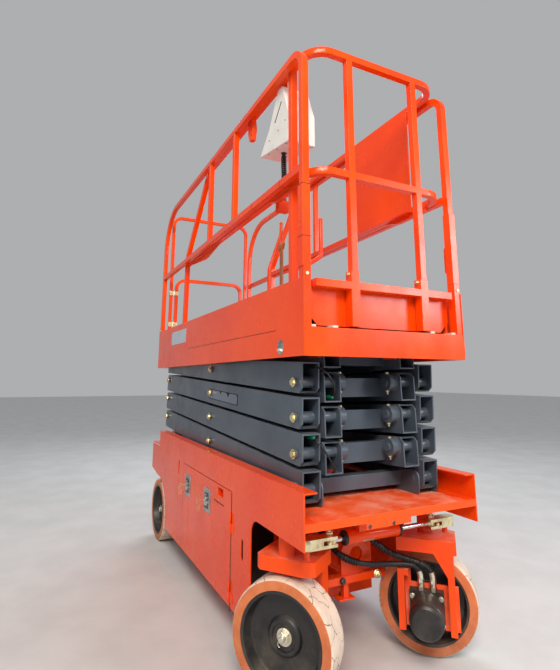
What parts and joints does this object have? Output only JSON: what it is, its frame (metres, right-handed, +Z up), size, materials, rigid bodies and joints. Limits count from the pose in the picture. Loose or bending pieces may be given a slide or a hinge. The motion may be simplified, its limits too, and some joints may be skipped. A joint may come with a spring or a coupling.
{
  "type": "slab scissor lift",
  "caption": "Compact electric slab scissor lift, stowed, with steered front wheels, stacked box-tube arms and a railed platform with a roll-out deck.",
  "frame": {"origin": "centre of the footprint on the ground", "axes": "+X to the steered front end, +Y to the machine's left, +Z up"},
  "size_m": [2.427, 1.0341, 2.507],
  "materials": {
    "orange_paint": "semi-gloss",
    "slate_paint": "satin",
    "tyre": "solid non-marking, worn",
    "black_cast": "painted black",
    "chrome": "polished",
    "zinc": "yellow zinc plated",
    "deck": "checker plate",
    "black_rubber": "matt",
    "white_box": "matt white",
    "black_plastic": "matt black",
    "nylon": "matt"
  },
  "bodies": {
    "chassis": {"arm_base_mounts": "slate_paint", "battery_pack": "black_plastic", "chassis_deck": "orange_paint", "chassis_frame": "orange_paint", "hydraulic_unit": "black_plastic", "lift_base_bracket": "orange_paint", "motor_hoses_left": "black_rubber", "motor_hoses_right": "black_rubber", "rear_axle": "orange_paint", "rear_ladder": "orange_paint", "roller_tracks": "orange_paint", "side_panel_left": "orange_paint", "side_panel_right": "orange_paint", "steering_barrel": "orange_paint", "unit_trays": "orange_paint"},
    "right_tray_door": {"tray_door_right": "orange_paint"},
    "left_tray_door": {"tray_door_left": "orange_paint"},
    "left_knuckle": {"steering_knuckle_left": "orange_paint", "wheel_motor_left": "black_cast"},
    "right_knuckle": {"steering_knuckle_right": "orange_paint", "wheel_motor_right": "black_cast"},
    "front_left_wheel": {"front_left_tyre": "tyre", "front_left_rim": "orange_paint"},
    "front_right_wheel": {"front_right_tyre": "tyre", "front_right_rim": "orange_paint"},
    "rear_left_wheel": {"rear_left_tyre": "tyre", "rear_left_rim": "orange_paint"},
    "rear_right_wheel": {"rear_right_tyre": "tyre", "rear_right_rim": "orange_paint"},
    "steer_rod": {"steering_rod": "chrome", "steering_yokes": "zinc"},
    "outer_arms_1": {"outer_arm_1": "slate_paint"},
    "outer_arms_2": {"outer_arm_2": "slate_paint"},
    "outer_arms_3": {"outer_arm_3": "slate_paint"},
    "outer_arms_4": {"outer_arm_4": "slate_paint", "upper_rollers": "nylon"},
    "inner_arms_1": {"inner_arm_1": "slate_paint", "lower_rollers": "nylon"},
    "inner_arms_2": {"inner_arm_2": "slate_paint"},
    "inner_arms_3": {"inner_arm_3": "slate_paint"},
    "inner_arms_4": {"inner_arm_4": "slate_paint"},
    "lift_cylinder_barrel": {"lift_barrel": "orange_paint"},
    "lift_cylinder_rod": {"lift_rod": "chrome"},
    "platform": {"platform_side_left": "orange_paint", "platform_side_right": "orange_paint", "platform_floor": "deck", "platform_end_beams": "orange_paint", "platform_mounts": "orange_paint", "main_rail_left": "orange_paint", "main_rail_right": "orange_paint", "rear_hoop": "orange_paint", "slide_pads": "nylon"},
    "gate": {"entry_gate": "orange_paint"},
    "extension": {"extension_deck": "orange_paint", "extension_guard": "orange_paint", "side_board": "orange_paint", "control_station": "white_box", "control_bracket": "orange_paint", "control_cable": "black_plastic", "extension_handles": "orange_paint"}
  },
  "joints": [
    {"name": "lift", "type": "hinge", "parent": "chassis", "child": "outer_arms_1", "pos_m": [1.01, 0, 0.706], "axis": [0, 1, 0], "range_deg": [0, 56.27]},
    {"name": "scissor_centre_1", "type": "hinge", "parent": "outer_arms_1", "child": "inner_arms_1", "pos_m": [-0.0248, 0, 0.7735], "axis": [0, 1, 0], "range_deg": [-112.54, 0]},
    {"name": "scissor_front_1", "type": "hinge", "parent": "inner_arms_1", "child": "outer_arms_2", "pos_m": [1.01, 0, 0.841], "axis": [0, 1, 0], "range_deg": [0, 112.54]},
    {"name": "scissor_centre_2", "type": "hinge", "parent": "outer_arms_2", "child": "inner_arms_2", "pos_m": [-0.0248, 0, 0.9085], "axis": [0, 1, 0], "range_deg": [-112.54, 0]},
    {"name": "scissor_front_2", "type": "hinge", "parent": "inner_arms_2", "child": "outer_arms_3", "pos_m": [1.01, 0, 0.976], "axis": [0, 1, 0], "range_deg": [0, 112.54]},
    {"name": "scissor_centre_3", "type": "hinge", "parent": "outer_arms_3", "child": "inner_arms_3", "pos_m": [-0.0248, 0, 1.0435], "axis": [0, 1, 0], "range_deg": [-112.54, 0]},
    {"name": "scissor_front_3", "type": "hinge", "parent": "inner_arms_3", "child": "outer_arms_4", "pos_m": [1.01, 0, 1.111], "axis": [0, 1, 0], "range_deg": [0, 112.54]},
    {"name": "scissor_centre_4", "type": "hinge", "parent": "outer_arms_4", "child": "inner_arms_4", "pos_m": [-0.0248, 0, 1.1785], "axis": [0, 1, 0], "range_deg": [-112.54, 0]},
    {"name": "platform_level", "type": "hinge", "parent": "inner_arms_4", "child": "platform", "pos_m": [1.01, 0, 1.246], "axis": [0, 1, 0], "range_deg": [0, 56.27]},
    {"name": "lift_barrel_swing", "type": "hinge", "parent": "chassis", "child": "lift_cylinder_barrel", "pos_m": [0.52, 0, 0.26], "axis": [0, 1, 0], "range_deg": [0, 52.08]},
    {"name": "lift_rod_stroke", "type": "slide", "parent": "lift_cylinder_barrel", "child": "lift_cylinder_rod", "axis": [-0.8294, 0, 0.5586], "range_m": [0, 0.34639]},
    {"name": "steer", "type": "hinge", "parent": "chassis", "child": "right_knuckle", "pos_m": [0.955, -0.343, 0.45], "axis": [0, 0, 1], "range_deg": [-74, 0], "deforming": ["motor_hoses_right"]},
    {"name": "steer_left", "type": "hinge", "parent": "chassis", "child": "left_knuckle", "pos_m": [0.955, 0.343, 0.45], "axis": [0, 0, 1], "range_deg": [-90, 0], "deforming": ["motor_hoses_left"]},
    {"name": "steer_rod_slide", "type": "slide", "parent": "chassis", "child": "steer_rod", "axis": [0, 1, 0], "range_m": [-0.11126, 0]},
    {"name": "front_left_spin", "type": "hinge", "parent": "left_knuckle", "child": "front_left_wheel", "pos_m": [0.955, 0.343, 0.203], "axis": [-0.7071, 0.7071, 0], "continuous": true},
    {"name": "front_right_spin", "type": "hinge", "parent": "right_knuckle", "child": "front_right_wheel", "pos_m": [0.955, -0.343, 0.203], "axis": [-0.6018, 0.7986, 0], "continuous": true},
    {"name": "rear_left_spin", "type": "hinge", "parent": "chassis", "child": "rear_left_wheel", "pos_m": [-0.949, 0.343, 0.203], "axis": [0, 1, 0], "continuous": true},
    {"name": "rear_right_spin", "type": "hinge", "parent": "chassis", "child": "rear_right_wheel", "pos_m": [-0.949, -0.343, 0.203], "axis": [0, 1, 0], "continuous": true},
    {"name": "right_door_swing", "type": "hinge", "parent": "chassis", "child": "right_tray_door", "pos_m": [0.525, -0.41, 0.4], "axis": [0, 0, 1], "range_deg": [0, 100]},
    {"name": "left_door_swing", "type": "hinge", "parent": "chassis", "child": "left_tray_door", "pos_m": [0.525, 0.41, 0.4], "axis": [0, 0, 1], "range_deg": [-100, 0]},
    {"name": "gate_swing", "type": "hinge", "parent": "platform", "child": "gate", "pos_m": [-1.153, -0.309, 1.7], "axis": [0, 0, 1], "range_deg": [-88, 0]},
    {"name": "deck_extend", "type": "slide", "parent": "platform", "child": "extension", "axis": [1, 0, 0], "range_m": [0, 0.9]}
  ],
  "couplings": [
    {"joint": "scissor_centre_1", "follows": "lift", "ratio": -2},
    {"joint": "scissor_front_1", "follows": "lift", "ratio": 2},
    {"joint": "scissor_centre_2", "follows": "lift", "ratio": -2},
    {"joint": "scissor_front_2", "follows": "lift", "ratio": 2},
    {"joint": "scissor_centre_3", "follows": "lift", "ratio": -2},
    {"joint": "scissor_front_3", "follows": "lift", "ratio": 2},
    {"joint": "scissor_centre_4", "follows": "lift", "ratio": -2},
    {"joint": "platform_level", "follows": "lift", "ratio": 1},
    {"joint": "lift_barrel_swing", "follows": "lift", "ratio": 0.92547},
    {"joint": "lift_rod_stroke", "follows": "lift", "m_per_rad": 0.3527},
    {"joint": "steer_left", "follows": "steer", "ratio": 1.2162},
    {"joint": "steer_rod_slide", "follows": "steer", "m_per_rad": 0.086144}
  ]
}
